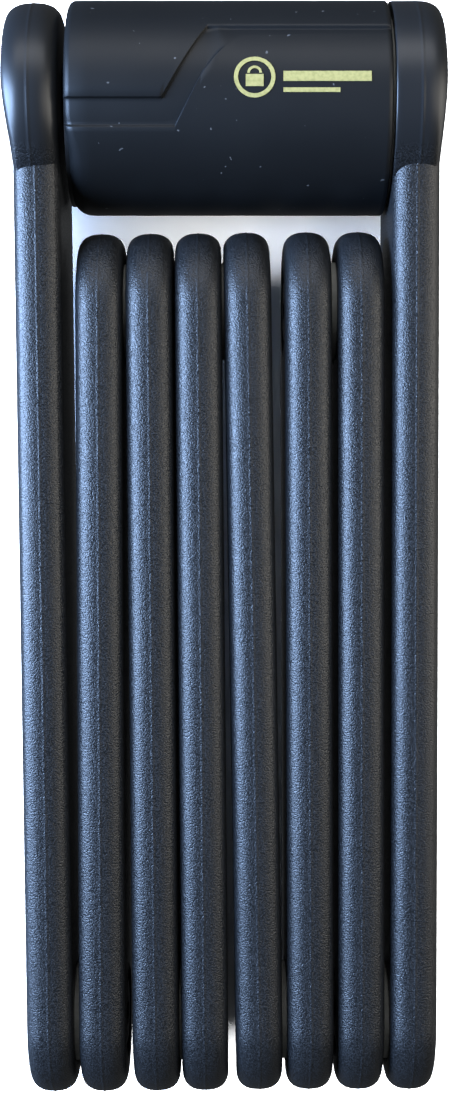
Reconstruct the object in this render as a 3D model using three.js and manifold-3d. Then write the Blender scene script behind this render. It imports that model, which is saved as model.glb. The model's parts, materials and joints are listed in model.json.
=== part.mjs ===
// Folding bike lock: eight riveted links folded flat beside a barrel-shaped lock body.
//
// Millimetres, +Z up. The folded, unlocked lock lies on a flat surface with the links standing on their
// narrow edges: +Y runs along the links towards the lock body, +X runs across the stack of links.
// The origin is the middle of the footprint, on the surface.
//
// Links are numbered 1 to 8 along +X. Links 1 and 8 are long and reach the lock body; link 8 swivels on
// the lock body's neck, and link 1 has the socket that the locking bolt shoots into when the loop is shut.
import * as THREE from "three";
import { mergeVertices } from "three/addons/utils/BufferGeometryUtils.js";
import Module from "manifold-3d";

const wasm = await Module();
wasm.setup();

// Driving dimensions: the links
const LONG_LINK = 151; // between the far pivot and the axis of the lock body
const SHORT_LINK = 117.6; // between the two pivots
const LINK_COUNT = 8;
const PIVOT_PITCH = [8.5, 8.1, 8.0, 8.0, 8.4, 8.5, 8.5]; // between the mid planes of links 1-2, 2-3 ...
const SPLAY_DEGREES = [0.72, 0.17, 0.47, 0.51, 0.93, 0.25, 0.13, 0]; // lean of links 1 to 8
const SLEEVE_THICK = 7.65;
const SLEEVE_RADIUS = 13; // half the link's width, and its round ends
const SLEEVE_EDGE = 1.9; // rounding of the sleeve's edges
const PLATE_THICK = 5;
const PLATE_RADIUS = 10.5;
const PLATE_ROOM = 0.3; // between a plate and the sleeve round it
const RIVET_RADIUS = 3.8;
const RIVET_HEAD = { radius: 6, thick: 1.1 };
const RIVET_HOLE_RADIUS = 4.15;
const PIVOT_GAP = 0.2; // along the pivot, between plate, washer and rivet head
const WASHER_RADIUS = 8;
const WASHER_OPENING = 8.6; // in the sleeve, on the side of the joined link
const HEAD_OPENING = 7.3; // in the sleeve, round the rivet head

// Driving dimensions: the round heads of the long links
const BODY_RADIUS = 17.4; // lock body and both heads
const SOCKET_HEAD = { from: -5.27, outerEdge: 3, innerEdge: 0.8, plateRadius: 15, hole: 6.2, opening: 8 };
const EYE_HEAD = { to: 4.7, outerEdge: 1.8, innerEdge: 0.5, plateRadius: 15.2, hole: 11.3 };
const EYE_OPENING = { inner: 15.3, outer: 14.4 };

// Driving dimensions: the lock body, along its own axis
const COVER = { left: -25, right: 26.9, inner: 15.9, leftEdge: 1.5, rightEdge: 0.4 };
const BAND = {
  depth: 0.5,
  lowLevel: -6.7,
  midLevel: -2.4,
  grooveLevel: 8.95,
  topLevel: 9.65,
  midBend: -9.5,
  topBend: -2.4,
  lowBend: -7.4,
  innerBend: 1.2,
};
const CASE = { left: -23.9, shoulder: 26.6, right: 34.8, radius: 15.6, neck: 10.9, bore: 8.9 };
const BOLT = { tip: -24.7, tail: -6.2, radius: 4.7, travel: 7.5, nose: 0.8 };
const BOLT_BORE = 5.1;
const SEAL = { left: -23.6, right: -21.6, inner: 5.05, outer: 6.9 };
const SEAL_POCKET = { depth: 2.6, radius: 7.2 };
const DRUM = { left: -18.6, floor: 3.4, right: 6.5, inner: 5.5, outer: 8.5 };
const CROSS_PIN = { at: -9, radius: 0.9, reach: 10 };
const GUIDE_SLOT = { width: 2.4, reach: 10.5 };
const HOUSING = { left: 8, right: 34.7, inner: 6.2, outer: 8.6 };
const PLUG = { left: 8.6, right: 34.5, radius: 5.9, cavity: 4.85, cavityLeft: 12, cavityRight: 31.6 };
const TANG = { left: 3.9, thick: 3, width: 8, room: 0.4 };
const KEYWAY = { width: 2, height: 7.4 };
const DISC = { count: 6, radius: 4.5, thick: 2.6, pitch: 3.15, first: 12.4 };
const SIDE_BAR = { height: 5, radius: 0.65, room: 0.3 };
const FIXING_PIN = { at: 20, radius: 1.2, inner: 6.9, outer: 15.2, room: 0.3 };
const SWIVEL_WASHER = { left: 26.9, right: 28.4, inner: 11.3, outer: 14.9 };
const CLIP = { left: 33.97, right: 34.5, inner: 10.5, outer: 13.6, groove: 10.2, mouthDegrees: 50 };
const END_PLATE = { left: -24.9, right: -24.1, inner: 5.4, outer: 15.4 };
const END_SCREW = { count: 3, circle: 11.3, head: 1.8, shank: 0.9, length: 6, cone: 1.2, room: 0.25 };
const DUST_COVER = { left: 35.1, right: 35.6, radius: 4.3, pivot: 7.4, ear: 1.8, hole: 0.85 };
const DUST_PIN = { left: 32.3, right: 35.88, radius: 0.6, head: 1.1, headThick: 0.2, room: 0.3 };

// Placing of the whole lock
const BODY_X = -0.2; // the lock body's own zero plane
const EYE_X = 31.2; // link 8's mid plane from there
const BODY_Y = 73.45; // its axis, with both ends of the lock equally far from the origin
const LEAN = Math.asin((BODY_RADIUS - SLEEVE_RADIUS) / LONG_LINK); // body and far ends both touch down

const FINE = 40; // sides of the large round pieces
const COARSE = 16; // sides of the small round pieces
const HALF_TURN = Math.PI;
const QUARTER_TURN = Math.PI / 2;
const RADIANS = Math.PI / 180;
const OVERRUN = 1; // how far a cutter runs past the face that it opens

const FINISH = {
  sleeve: new THREE.MeshStandardMaterial({ color: 0x2b2f34, roughness: 0.55, metalness: 0 }),
  cover: new THREE.MeshStandardMaterial({ color: 0x24272b, roughness: 0.6, metalness: 0 }),
  hardSteel: new THREE.MeshStandardMaterial({ color: 0x8b8e92, roughness: 0.35, metalness: 1 }),
  darkSteel: new THREE.MeshStandardMaterial({ color: 0x4a4c50, roughness: 0.5, metalness: 1 }),
  plated: new THREE.MeshStandardMaterial({ color: 0xc4c7ca, roughness: 0.2, metalness: 1 }),
  brass: new THREE.MeshStandardMaterial({ color: 0xb08d4a, roughness: 0.35, metalness: 1 }),
  slide: new THREE.MeshStandardMaterial({ color: 0xd8d8d2, roughness: 0.6, metalness: 0 }),
  rubber: new THREE.MeshStandardMaterial({ color: 0x17181a, roughness: 0.9, metalness: 0 }),
};

// ---- Solids: every shape is drawn across the X axis and runs along it ----

const ALONG_X = new THREE.Matrix4().makeBasis(
  new THREE.Vector3(0, 1, 0),
  new THREE.Vector3(0, 0, 1),
  new THREE.Vector3(1, 0, 0),
);

function toManifold(geometry) {
  const bare = geometry.clone();
  bare.deleteAttribute("normal");
  bare.deleteAttribute("uv");
  const welded = mergeVertices(bare, 1e-4);
  const corners = welded.index.array;
  const triangles = [];
  for (let i = 0; i < corners.length; i += 3) {
    const [a, b, c] = corners.slice(i, i + 3);
    if (a !== b && b !== c && c !== a) triangles.push(a, b, c);
  }
  const vertProperties = new Float32Array(welded.attributes.position.array);
  const triVerts = new Uint32Array(triangles);
  return new wasm.Manifold(new wasm.Mesh({ numProp: 3, vertProperties, triVerts }));
}

function toGeometry(manifold) {
  const { vertProperties, triVerts } = manifold.getMesh();
  const geometry = new THREE.BufferGeometry();
  geometry.setAttribute("position", new THREE.BufferAttribute(vertProperties, 3));
  geometry.setIndex(new THREE.BufferAttribute(triVerts, 1));
  return geometry;
}

function cut(body, ...tools) {
  let left = toManifold(body);
  for (const tool of tools) left = left.subtract(toManifold(tool));
  return toGeometry(left);
}

function join(...bodies) {
  const [first, ...others] = bodies.map(toManifold);
  return toGeometry(others.reduce((whole, body) => whole.add(body), first));
}

function common(a, b) {
  return toGeometry(toManifold(a).intersect(toManifold(b)));
}

// A flat shape, drawn in Y and Z, made solid from one x to another.
function slab(shape, from, to, edge = 0, arcSteps = COARSE / 2) {
  const geometry = new THREE.ExtrudeGeometry(shape, {
    depth: to - from - 2 * edge,
    bevelEnabled: edge > 0,
    bevelThickness: edge,
    bevelSize: edge,
    bevelOffset: -edge,
    bevelSegments: 2,
    curveSegments: arcSteps,
  });
  return geometry.translate(0, 0, from + edge).applyMatrix4(ALONG_X);
}

// A closed outline of [x, radius] points turned round the X axis.
function turned(outline, sides = COARSE) {
  const area = outline.reduce((sum, [x, r], i) => {
    const [nextX, nextR] = outline[(i + 1) % outline.length];
    return sum + r * nextX - nextR * x;
  }, 0);
  const ordered = area > 0 ? outline : [...outline].reverse();
  const points = [...ordered, ordered[0]].map(([x, r]) => new THREE.Vector2(r, x));
  return new THREE.LatheGeometry(points, sides).rotateZ(-QUARTER_TURN);
}

function rod(from, to, radius, sides = COARSE) {
  return turned([[from, 0], [to, 0], [to, radius], [from, radius]], sides);
}

function ring(from, to, inner, outer, sides = COARSE) {
  return turned([[from, inner], [to, inner], [to, outer], [from, outer]], sides);
}

function block(from, to, width, height) {
  return new THREE.BoxGeometry(to - from, width, height).translate((from + to) / 2, 0, 0);
}

// The same rod, but running along +Z from one height to another.
function uprightRod(from, to, radius) {
  return rod(from, to, radius).rotateY(-QUARTER_TURN);
}

// Points of a quarter-round edge: from angle start to angle end about a centre.
function arcPoints([x, r], radius, start, end, steps = 2) {
  return Array.from({ length: steps + 1 }, (_, i) => {
    const angle = start + ((end - start) * i) / steps;
    return [x + radius * Math.cos(angle), r + radius * Math.sin(angle)];
  });
}

function roundedDisc(from, to, radius, fromEdge, toEdge) {
  const outline = [
    [from, 0],
    ...arcPoints([from + fromEdge, radius - fromEdge], fromEdge, HALF_TURN, QUARTER_TURN),
    ...arcPoints([to - toEdge, radius - toEdge], toEdge, QUARTER_TURN, 0),
    [to, 0],
  ];
  return turned(outline, FINE);
}

function piece(name, geometry, finish) {
  const mesh = new THREE.Mesh(geometry, finish);
  mesh.name = name;
  return mesh;
}

// ---- Links: each in its own frame, far pivot at the origin, running along +Y ----

function linkOutline(length, radius) {
  const shape = new THREE.Shape();
  shape.absarc(length, 0, radius, -QUARTER_TURN, QUARTER_TURN);
  shape.absarc(0, 0, radius, QUARTER_TURN, 3 * QUARTER_TURN);
  return shape;
}

const isFar = (pivot) => pivot % 2 === 1; // odd pivots are at the end away from the lock body
const linkLength = (link) => (link === 1 || link === LINK_COUNT ? LONG_LINK : SHORT_LINK);

// The link's pivots: where along it, and on which side of it (+1 or -1 in x) the joined link lies.
function pivotsOf(link) {
  const pivots = [];
  for (const [pivot, side] of [[link - 1, -1], [link, 1]]) {
    if (pivot < 1 || pivot >= LINK_COUNT) continue;
    pivots.push({ y: isFar(pivot) ? 0 : linkLength(link), side });
  }
  return pivots;
}

function plate(link) {
  const length = linkLength(link);
  const half = PLATE_THICK / 2;
  const bar = slab(linkOutline(length, PLATE_RADIUS), -half, half);
  const holes = pivotsOf(link).map(({ y }) => rod(-half - 1, half + 1, RIVET_HOLE_RADIUS).translate(0, y, 0));
  const head = { 1: SOCKET_HEAD, [LINK_COUNT]: EYE_HEAD }[link];
  if (!head) return cut(bar, ...holes);
  const disc = rod(-half, half, head.plateRadius, FINE).translate(0, length, 0);
  const eye = rod(-half - 1, half + 1, head.hole, FINE).translate(0, length, 0);
  return cut(join(bar, disc), eye, ...holes);
}

// What is hollow in a sleeve: the room for the plate, and the openings at the pivots.
function sleeveHollows(link) {
  const half = PLATE_THICK / 2 + PLATE_ROOM;
  const mouth = SLEEVE_THICK / 2 + OVERRUN;
  const room = slab(linkOutline(linkLength(link), PLATE_RADIUS + PLATE_ROOM), -half, half);
  const openings = pivotsOf(link).flatMap(({ y, side }) => [
    rod(0, side * mouth, WASHER_OPENING).translate(0, y, 0),
    rod(0, -side * mouth, HEAD_OPENING).translate(0, y, 0),
  ]);
  return [room, ...openings];
}

function sleeve(link) {
  const length = linkLength(link);
  const half = SLEEVE_THICK / 2;
  const bar = slab(linkOutline(length, SLEEVE_RADIUS), -half, half, SLEEVE_EDGE, FINE / 4);
  const hollows = sleeveHollows(link);
  const room = PLATE_THICK / 2 + PLATE_ROOM;
  const atHead = (geometry) => geometry.translate(0, length, 0);
  if (link === 1) {
    const { from, outerEdge, innerEdge, plateRadius, opening } = SOCKET_HEAD;
    const head = atHead(roundedDisc(from, half, BODY_RADIUS, outerEdge, innerEdge));
    const headRoom = atHead(rod(-room, room, plateRadius + PLATE_ROOM, FINE));
    const mouth = atHead(rod(0, half + OVERRUN, opening));
    return cut(join(bar, head), headRoom, mouth, ...hollows);
  }
  if (link === LINK_COUNT) {
    const { to, outerEdge, innerEdge, plateRadius } = EYE_HEAD;
    const head = atHead(roundedDisc(-half, to, BODY_RADIUS, innerEdge, outerEdge));
    const headRoom = atHead(rod(-room, room, plateRadius + PLATE_ROOM, FINE));
    const innerMouth = atHead(rod(-half - OVERRUN, 0, EYE_OPENING.inner, FINE));
    const outerMouth = atHead(rod(0, to + OVERRUN, EYE_OPENING.outer, FINE));
    return cut(join(bar, head), headRoom, innerMouth, outerMouth, ...hollows);
  }
  return cut(bar, ...hollows);
}

// Rivet and washer of a pivot, in the frame of its right-hand link, at that link's mid plane.
function rivet(pitch) {
  const right = PLATE_THICK / 2 + PIVOT_GAP;
  const left = -pitch - right;
  const { radius, thick } = RIVET_HEAD;
  const crown = radius - thick / 2;
  return turned([
    [left - thick, 0],
    [left - thick, crown],
    [left, radius],
    [left, RIVET_RADIUS],
    [right, RIVET_RADIUS],
    [right, radius],
    [right + thick, crown],
    [right + thick, 0],
  ]);
}

function washer(pitch) {
  const face = PLATE_THICK / 2 + PIVOT_GAP;
  return ring(face - pitch, -face, RIVET_RADIUS + PIVOT_GAP + 0.1, WASHER_RADIUS);
}

// Far-pivot position of every link in the lock body's frame, walking the chain from link 8 to link 1.
function linkPlaces() {
  const places = [];
  let known = new THREE.Vector3(EYE_X, 0, 0);
  for (let link = LINK_COUNT; link >= 1; link -= 1) {
    const splay = SPLAY_DEGREES[link - 1] * RADIANS;
    const along = new THREE.Vector3(-Math.sin(splay), Math.cos(splay), 0);
    const across = new THREE.Vector3(Math.cos(splay), Math.sin(splay), 0);
    const knownIsFar = isFar(link);
    const far = known.clone().addScaledVector(along, knownIsFar ? 0 : -linkLength(link));
    places[link] = { far, splay };
    const next = link - 1;
    known = far.clone().addScaledVector(along, isFar(next) ? 0 : linkLength(link));
    known.addScaledVector(across, -(PIVOT_PITCH[next - 1] ?? 0));
  }
  return places;
}

function linkGroup(link, { far, splay }) {
  const group = new THREE.Group();
  group.position.copy(far);
  group.rotation.z = splay;
  group.add(piece(`link_${link}_plate`, plate(link), FINISH.hardSteel));
  group.add(piece(`link_${link}_sleeve`, sleeve(link), FINISH.sleeve));
  const pivot = link - 1; // the pivot that joins the link on the left
  if (pivot >= 1) {
    const pitch = PIVOT_PITCH[pivot - 1];
    const y = isFar(pivot) ? 0 : linkLength(link);
    group.add(piece(`rivet_${pivot}`, rivet(pitch).translate(0, y, 0), FINISH.darkSteel));
    group.add(piece(`washer_${pivot}`, washer(pitch).translate(0, y, 0), FINISH.slide));
  }
  return group;
}

// ---- Lock body: in its own frame, its axis along X ----

// The recessed band on the cover: level on the left, slanting up to a narrow level groove on the right.
function bandCutter() {
  const shape = new THREE.Shape();
  shape.moveTo(COVER.left - OVERRUN, BAND.lowLevel);
  shape.lineTo(BAND.lowBend, BAND.lowLevel);
  shape.lineTo(BAND.innerBend, BAND.grooveLevel);
  shape.lineTo(COVER.right + OVERRUN, BAND.grooveLevel);
  shape.lineTo(COVER.right + OVERRUN, BAND.topLevel);
  shape.lineTo(BAND.topBend, BAND.topLevel);
  shape.lineTo(BAND.midBend, BAND.midLevel);
  shape.lineTo(COVER.left - OVERRUN, BAND.midLevel);
  const drop = new THREE.ExtrudeGeometry(shape, { depth: BODY_RADIUS, bevelEnabled: false });
  const floor = BODY_RADIUS - BAND.depth;
  const shell = ring(COVER.left - OVERRUN, COVER.right + OVERRUN, floor, BODY_RADIUS + OVERRUN, FINE);
  return common(drop.translate(0, 0, OVERRUN), shell);
}

function cover() {
  const { left, right, inner, leftEdge, rightEdge } = COVER;
  const skin = turned(
    [
      [left, inner],
      ...arcPoints([left + leftEdge, BODY_RADIUS - leftEdge], leftEdge, HALF_TURN, QUARTER_TURN),
      [right - rightEdge, BODY_RADIUS],
      [right, BODY_RADIUS - rightEdge],
      [right, inner],
    ],
    FINE,
  );
  return cut(skin, bandCutter());
}

function caseShell() {
  const { left, shoulder, right, radius, neck, bore } = CASE;
  const pocket = left + SEAL_POCKET.depth;
  const chamber = DRUM.left - PIVOT_GAP;
  const shell = turned(
    [
      [left, SEAL_POCKET.radius],
      [pocket, SEAL_POCKET.radius],
      [pocket, BOLT_BORE],
      [chamber, BOLT_BORE],
      [chamber, bore],
      [right, bore],
      [right, neck],
      [CLIP.right + PIVOT_GAP, neck],
      [CLIP.right + PIVOT_GAP, CLIP.groove],
      [CLIP.left - PIVOT_GAP, CLIP.groove],
      [CLIP.left - PIVOT_GAP, neck],
      [shoulder, neck],
      [shoulder, radius],
      [left, radius],
    ],
    FINE,
  );
  const slotEnds = CROSS_PIN.radius + 0.5;
  const slots = block(
    CROSS_PIN.at - BOLT.travel - slotEnds,
    CROSS_PIN.at + slotEnds,
    GUIDE_SLOT.width,
    2 * GUIDE_SLOT.reach,
  );
  const pinHole = fixingRod(bore - OVERRUN, radius + OVERRUN, FIXING_PIN.radius + FIXING_PIN.room);
  const { cone, shank, length, room } = END_SCREW;
  const threads = endScrewPlaces().map((at) =>
    rod(left - OVERRUN, END_PLATE.left + cone + length + room, shank + room, COARSE / 2).translate(0, ...at),
  );
  return cut(shell, slots, pinHole, ...threads);
}

// A radial rod below the axis, from one radius to another.
function fixingRod(inner, outer, radius) {
  return uprightRod(-outer, -inner, radius).translate(FIXING_PIN.at, 0, 0);
}

function endScrewPlaces() {
  const { count, circle } = END_SCREW;
  return Array.from({ length: count }, (_, i) => {
    const angle = QUARTER_TURN + (i * 2 * HALF_TURN) / count;
    return [circle * Math.cos(angle), circle * Math.sin(angle)];
  });
}

// Countersunk screw, or the hole for it when room is more than 0.
function endScrew([y, z], room = 0) {
  const { head, shank, cone, length } = END_SCREW;
  const outside = END_PLATE.left - (room > 0 ? OVERRUN : -0.05);
  return turned(
    [
      [outside, 0],
      [outside, head + room],
      [END_PLATE.left + 0.2, head + room],
      [END_PLATE.left + cone, shank + room],
      [END_PLATE.left + cone + length, shank + room],
      [END_PLATE.left + cone + length, 0],
    ],
    COARSE / 2,
  ).translate(0, y, z);
}

function endPlate() {
  const disc = ring(END_PLATE.left, END_PLATE.right, END_PLATE.inner, END_PLATE.outer, FINE);
  return cut(disc, ...endScrewPlaces().map((at) => endScrew(at, END_SCREW.room)));
}

function boltSeal() {
  const { left, right, inner, outer } = SEAL;
  const lip = 0.4;
  return turned([
    [left, inner + lip],
    [left + lip, inner],
    [right - lip, inner],
    [right, inner + lip],
    [right, outer],
    [left, outer],
  ]);
}

function bolt() {
  const { tip, tail, radius, nose } = BOLT;
  const body = turned([
    [tip, 0],
    [tip, radius - nose],
    [tip + nose, radius],
    [tail, radius],
    [tail, 0],
  ]);
  const hole = CROSS_PIN.radius + 0.2;
  const through = uprightRod(-radius - OVERRUN, radius + OVERRUN, hole).translate(CROSS_PIN.at, 0, 0);
  return cut(body, through);
}

function crossPin() {
  const { at, radius, reach } = CROSS_PIN;
  return rod(-reach, reach, radius, COARSE / 2).rotateY(-QUARTER_TURN).translate(at, 0, 0);
}

// A slot that winds a quarter turn round the drum while it moves along by the bolt's travel.
function helixCutter() {
  const halfSpan = CROSS_PIN.radius + 0.85; // along the axis, either side of the slot's middle
  const lead = BOLT.travel / QUARTER_TURN;
  const spare = 14 * RADIANS; // past each end of the pin's path
  const depth = DRUM.outer - DRUM.inner + 2;
  const sweep = QUARTER_TURN + 2 * spare;
  const strip = new THREE.BoxGeometry(2 * halfSpan, sweep, depth, 1, 12, 1);
  const position = strip.attributes.position;
  for (let i = 0; i < position.count; i += 1) {
    const angle = QUARTER_TURN / 2 + position.getY(i);
    const radius = (DRUM.inner + DRUM.outer) / 2 - position.getZ(i);
    const x = CROSS_PIN.at - lead * (QUARTER_TURN - angle) + position.getX(i);
    position.setXYZ(i, x, radius * Math.cos(angle), radius * Math.sin(angle));
  }
  return strip;
}

function drum() {
  const { left, floor, right, inner, outer } = DRUM;
  const cup = turned([[left, inner], [left, outer], [right, outer], [right, 0], [floor, 0], [floor, inner]]);
  const key = block(floor - OVERRUN, right + OVERRUN, TANG.thick + 2 * TANG.room, TANG.width + 2 * TANG.room);
  return cut(cup, helixCutter(), helixCutter().rotateX(HALF_TURN), key);
}

function housing() {
  const { left, right, inner, outer } = HOUSING;
  const hole = fixingRod(inner - OVERRUN, outer + OVERRUN, FIXING_PIN.radius + FIXING_PIN.room);
  const pivot = rod(DUST_PIN.left - OVERRUN, right + OVERRUN, DUST_PIN.radius + DUST_PIN.room, COARSE / 2);
  return cut(ring(left, right, inner, outer), hole, pivot.translate(0, 0, DUST_COVER.pivot));
}

function plug() {
  const { left, right, radius, cavity, cavityLeft, cavityRight } = PLUG;
  const body = join(rod(left, right, radius), block(TANG.left, left + 1, TANG.thick, TANG.width));
  const barSlot = block(cavityLeft, cavityRight, 2 * SIDE_BAR.radius + 2 * SIDE_BAR.room, 4);
  return cut(
    body,
    rod(cavityLeft, cavityRight, cavity),
    block(cavityRight - 0.5, right + OVERRUN, KEYWAY.width, KEYWAY.height),
    barSlot.translate(0, 0, radius),
  );
}

function detainer(index) {
  const { radius, thick, pitch, first } = DISC;
  const left = first + index * pitch;
  const slot = block(left - OVERRUN, left + thick + OVERRUN, KEYWAY.width - 0.2, KEYWAY.height - 1);
  const notch = rod(left - OVERRUN, left + thick + OVERRUN, SIDE_BAR.radius + SIDE_BAR.room, COARSE / 2);
  return cut(rod(left, left + thick, radius), slot, notch.translate(0, 0, SIDE_BAR.height));
}

function sideBar() {
  const { cavityLeft, cavityRight } = PLUG;
  const bar = rod(cavityLeft + PIVOT_GAP, cavityRight - PIVOT_GAP, SIDE_BAR.radius, COARSE / 2);
  return bar.translate(0, 0, SIDE_BAR.height);
}

function fixingPin() {
  return fixingRod(FIXING_PIN.inner, FIXING_PIN.outer, FIXING_PIN.radius);
}

// C-shaped clip, open downwards.
function clip() {
  const { left, right, inner, outer, mouthDegrees } = CLIP;
  const start = -QUARTER_TURN + (mouthDegrees / 2) * RADIANS;
  const end = 3 * QUARTER_TURN - (mouthDegrees / 2) * RADIANS;
  const shape = new THREE.Shape();
  shape.absarc(0, 0, outer, start, end, false);
  shape.absarc(0, 0, inner, end, start, true);
  return slab(shape, left, right, 0, COARSE);
}

function dustCover() {
  const { left, right, radius, pivot, ear, hole } = DUST_COVER;
  const tail = rod(left, right, ear).translate(0, 0, pivot);
  const web = block(left, right, 2 * ear, pivot).translate(0, 0, pivot / 2);
  const pin = rod(left - OVERRUN, right + OVERRUN, hole, COARSE / 2).translate(0, 0, pivot);
  return cut(join(rod(left, right, radius), tail, web), pin);
}

function dustPin() {
  const { left, right, radius, head, headThick } = DUST_PIN;
  const neck = right - headThick;
  const pin = turned(
    [[left, 0], [left, radius], [neck, radius], [neck, head], [right, head], [right, 0]],
    COARSE / 2,
  );
  return pin.translate(0, 0, DUST_COVER.pivot);
}

function bodyPieces() {
  const { left, right, inner, outer } = SWIVEL_WASHER;
  return [
    piece("body_cover", cover(), FINISH.cover),
    piece("lock_case", caseShell(), FINISH.hardSteel),
    piece("end_plate", endPlate(), FINISH.plated),
    ...endScrewPlaces().map((at, i) => piece(`end_screw_${i + 1}`, endScrew(at), FINISH.darkSteel)),
    piece("bolt_seal", boltSeal(), FINISH.rubber),
    piece("locking_bolt", bolt(), FINISH.plated),
    piece("bolt_cross_pin", crossPin(), FINISH.darkSteel),
    piece("cam_drum", drum(), FINISH.darkSteel),
    piece("cylinder_housing", housing(), FINISH.brass),
    piece("housing_pin", fixingPin(), FINISH.darkSteel),
    piece("key_plug", plug(), FINISH.brass),
    ...Array.from({ length: DISC.count }, (_, i) => piece(`detainer_disc_${i + 1}`, detainer(i), FINISH.brass)),
    piece("side_bar", sideBar(), FINISH.darkSteel),
    piece("swivel_washer", ring(left, right, inner, outer, FINE), FINISH.slide),
    piece("retaining_clip", clip(), FINISH.darkSteel),
    piece("dust_cover", dustCover(), FINISH.plated),
    piece("dust_cover_pin", dustPin(), FINISH.plated),
  ];
}

// ---- The whole lock ----

const lock = new THREE.Group();
lock.position.set(BODY_X, BODY_Y, BODY_RADIUS);
lock.rotation.x = LEAN;
lock.add(...bodyPieces());
const places = linkPlaces();
for (let link = 1; link <= LINK_COUNT; link += 1) lock.add(linkGroup(link, places[link]));

export default lock;
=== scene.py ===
"""Looks of the folding bike lock: moulded sleeves, lock body, key end, materials, light and camera."""
import json
import math

import bmesh
import bpy
from mathutils import Matrix, Vector


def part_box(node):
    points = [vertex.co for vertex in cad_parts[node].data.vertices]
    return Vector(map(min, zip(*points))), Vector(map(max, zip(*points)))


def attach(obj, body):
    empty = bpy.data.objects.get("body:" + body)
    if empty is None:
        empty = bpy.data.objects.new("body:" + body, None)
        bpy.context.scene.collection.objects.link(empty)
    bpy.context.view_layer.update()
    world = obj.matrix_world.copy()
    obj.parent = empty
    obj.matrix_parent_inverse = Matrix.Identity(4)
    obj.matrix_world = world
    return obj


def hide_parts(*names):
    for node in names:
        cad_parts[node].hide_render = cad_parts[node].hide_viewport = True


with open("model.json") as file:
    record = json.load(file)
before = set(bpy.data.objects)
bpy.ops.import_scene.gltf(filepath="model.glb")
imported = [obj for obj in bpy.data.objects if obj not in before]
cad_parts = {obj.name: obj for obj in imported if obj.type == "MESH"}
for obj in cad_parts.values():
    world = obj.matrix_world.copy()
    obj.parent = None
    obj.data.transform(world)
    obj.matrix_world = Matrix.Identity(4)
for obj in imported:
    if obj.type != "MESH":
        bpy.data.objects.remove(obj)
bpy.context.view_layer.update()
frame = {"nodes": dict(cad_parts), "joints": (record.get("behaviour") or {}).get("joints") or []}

MM = 0.001
TINY = 2e-4  # millimetres: points closer than this are one point
LINKS = range(1, 9)
LONG_LINKS = (1, 8)
PIVOTS = range(1, 8)

# Sleeves, in millimetres
SLEEVE_THICK = 7.65
SLEEVE_RADIUS = 12.95  # the mould line stands proud of it
EDGE_DROP = 3.4  # how far the rounded narrow edge falls away towards the flat sides
EDGE_POWER = 2.5  # 2 is an ellipse, more is squarer
MOULD_LINE = 0.05
PLATE_RADIUS = 10.5
PLATE_HALF = 2.5
ROOM = 0.3
LONG_LENGTH = 151
WASHER_OPENING = 8.6
RIVET_OPENING = 7.3
OPENING_CHAMFER = 0.45

# Pivots: a domed rivet head as (height, radius) points, and the washer between two links
RIVET_HEAD = [(1.1, 0), (1.1, 1.2), (0.8, 1.7), (0.95, 2.6), (0.95, 4.6), (0.75, 5.5), (0.35, 5.95), (0, 6)]
RIVET_SHANK = 3.8
RIVET_GAP = 0.2  # between plate, washer and head
WASHER_INNER, WASHER_OUTER = 4.1, 8

# Round heads of the long links
HEAD_RADIUS = 17.3
SOCKET_HEAD, SOCKET_DROP = (-5.15, 3.82), 3.2  # from and to across link 1, and how far its rim falls away
SOCKET_PLATE, SOCKET_MOUTH = 15.0, 8.0
EYE_HEAD, EYE_DROP = (-3.82, 4.55), 3.0
EYE_FLARE = (0.6, 1.2)  # half its depth and its width, round the eye's outer mouth
CHEEK_SLOPE = (-1.2, 9.8)  # how far below the barrel axis the cheeks start and end their slope
EYE_PLATE, EYE_INNER, EYE_OUTER = 15.2, 15.3, 14.4

# Lock body cover, measured from its left end
COVER_LENGTH = 51.9
COVER_RADIUS = 17.35
COVER_INNER = 15.9
BAND_DEPTH = 0.5
BAND_EDGE = 0.2  # half the width of the band's sloping edges
FRONT = (-14.0, 16.0)  # the part of the way round from the top that the band can lie in

# Key end, along the barrel from the lock body's own zero plane
BODY_ZERO = 25  # from the cover's left end
HOUSING, HOUSING_INNER, HOUSING_OUTER = (8, 34.7), 6.2, 8.6
PLUG, PLUG_RADIUS = (8.6, 34.5), 5.9
CAVITY, CAVITY_RADIUS = (12, 31.6), 4.85
TANG_LEFT, TANG_THICK, TANG_WIDTH = 3.9, 3, 8
BAR_SLOT_WIDTH, BAR_SLOT_FLOOR = 1.9, 3.9
KEYWAY_WIDTH, KEYWAY_HEIGHT = 2, 7.4
CLIP, CLIP_INNER, CLIP_OUTER, CLIP_MOUTH = (33.97, 34.5), 10.5, 13.55, 50
DUST_COVER, DUST_RADIUS, DUST_PIVOT, DUST_EAR = (35.1, 35.6), 4.3, 7.4, 1.8
DUST_PIN_TAIL, DUST_PIN_RADIUS = 32.3, 0.6
FIXING_AT, FIXING_HOLE = 20, 1.5

# End plate screws
PLATE_FACE = -24.9
SCREW_HEAD, SCREW_SHANK, SCREW_CONE, SCREW_LENGTH = 1.8, 0.9, 1.2, 6
SCREW_SOCKET, SCREW_SOCKET_DEPTH = 1.0, 0.9

# Print on the cover: its ring is centred at (distance from the left end, distance round from the top)
PRINT_CENTRE = (30.1, 1.2)
INK_THICK, INK_SUNK = 0.035, 0.015

FLOOR_LEVEL = -0.0002


# ---- Placing ----

def joint(name):
    return next(j for j in frame["joints"] if j["name"] == name)


def plate_plane(link):
    """Unit normal (towards +X) and offset of the mid plane of a link's steel plate."""
    mesh = frame["nodes"][f"link_{link}_plate"].data
    widest = max(mesh.polygons, key=lambda p: p.area)
    normal = widest.normal.copy()
    if normal.x < 0:
        normal.negate()
    heights = [v.co.dot(normal) for v in mesh.vertices]
    return normal, (min(heights) + max(heights)) / 2


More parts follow.
